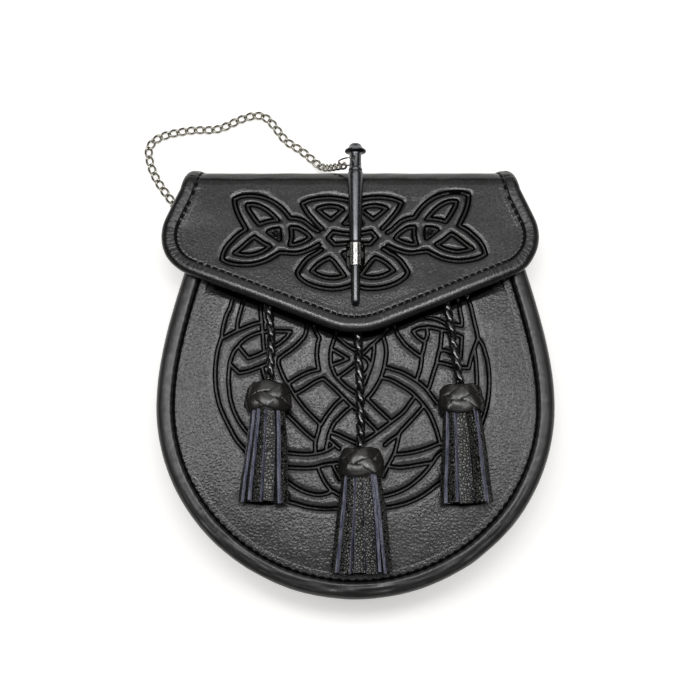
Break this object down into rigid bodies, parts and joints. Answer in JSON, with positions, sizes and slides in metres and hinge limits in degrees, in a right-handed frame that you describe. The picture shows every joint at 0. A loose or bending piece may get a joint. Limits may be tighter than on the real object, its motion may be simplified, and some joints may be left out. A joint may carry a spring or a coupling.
{
  "type": "sporran pouch",
  "caption": "Leather day sporran: flat-backed belt pouch with an embossed front and flap, a peg closure on a chain and tassels.",
  "frame": {"origin": "on the back panel's outer face, on the pouch's line of symmetry, at the middle of the height of pouch and flap", "axes": "+Z from the back panel to the front, +Y towards the top of the pouch, +X to the right seen from the front"},
  "size_m": [0.2056, 0.2488, 0.0424],
  "materials": {
    "black_leather": "fine pebble grain, soft sheen",
    "binding_leather": "smooth, satin",
    "thong_leather": "glossy",
    "fringe_leather": "grained face, lavender cut edges",
    "dark_chrome": "dark polished",
    "bright_nickel": "bright polished"
  },
  "bodies": {
    "root": {"back_panel": "black_leather", "gusset": "black_leather", "front_panel": "black_leather", "front_rim": "binding_leather", "flap": "black_leather", "flap_binding": "binding_leather", "peg_loop": "bright_nickel", "peg": "dark_chrome", "peg_chain": "bright_nickel", "strap_ring_left": "bright_nickel", "strap_ring_right": "bright_nickel", "strap_tab_left": "binding_leather", "strap_tab_right": "binding_leather", "tassel_thong_left": "thong_leather", "tassel_thong_middle": "thong_leather", "tassel_thong_right": "thong_leather", "tassel_knot_left": "binding_leather", "tassel_knot_middle": "binding_leather", "tassel_knot_right": "binding_leather", "tassel_fringe_left": "fringe_leather", "tassel_fringe_middle": "fringe_leather", "tassel_fringe_right": "fringe_leather"}
  },
  "joints": []
}
